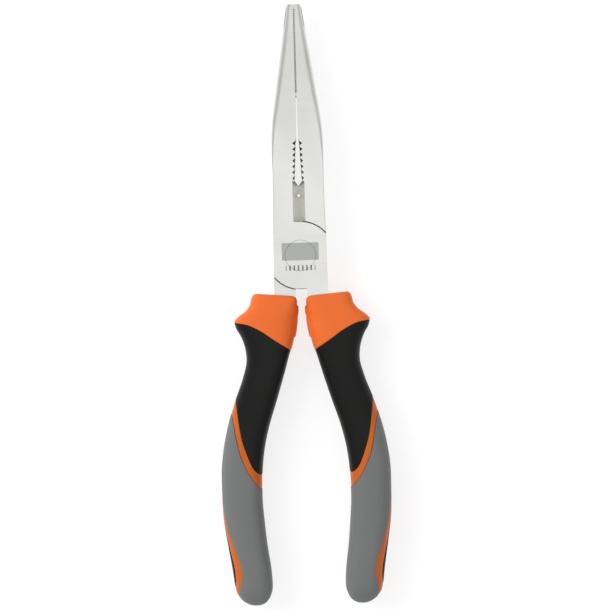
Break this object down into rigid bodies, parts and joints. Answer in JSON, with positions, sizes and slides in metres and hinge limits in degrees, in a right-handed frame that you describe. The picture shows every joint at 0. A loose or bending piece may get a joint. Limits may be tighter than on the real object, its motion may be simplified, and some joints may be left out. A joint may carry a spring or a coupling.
{
  "type": "fishing pliers",
  "caption": "Long-nose combination pliers with serrated tips, pipe grip, side cutters, a lap joint and soft two-colour grips",
  "frame": {"origin": "on the pivot axis, in the back face of the joint", "axes": "+Y from the pivot to the jaw tips, +Z along the pivot axis towards the front face, +X to the right"},
  "size_m": [0.0568, 0.1996, 0.0144],
  "materials": {
    "steel": "satin polished",
    "rivet_steel": "ground flush",
    "grip_orange": "hard moulded",
    "grip_black": "soft moulded, matt",
    "grip_grey": "soft moulded, matt"
  },
  "bodies": {
    "front_body": {"front_half": "steel", "pivot_rivet": "rivet_steel", "right_grip_core": "grip_orange", "right_grip_upper_sleeve": "grip_black", "right_grip_lower_sleeve": "grip_grey", "right_grip_end_insert": "grip_black"},
    "back_body": {"back_half": "steel", "left_grip_core": "grip_orange", "left_grip_upper_sleeve": "grip_black", "left_grip_lower_sleeve": "grip_grey", "left_grip_end_insert": "grip_black"}
  },
  "joints": [
    {"name": "jaw_pivot", "type": "hinge", "parent": "front_body", "child": "back_body", "pos_m": [0, 0, 0.005], "axis": [0, 0, -1], "range_deg": [0, 70]}
  ]
}
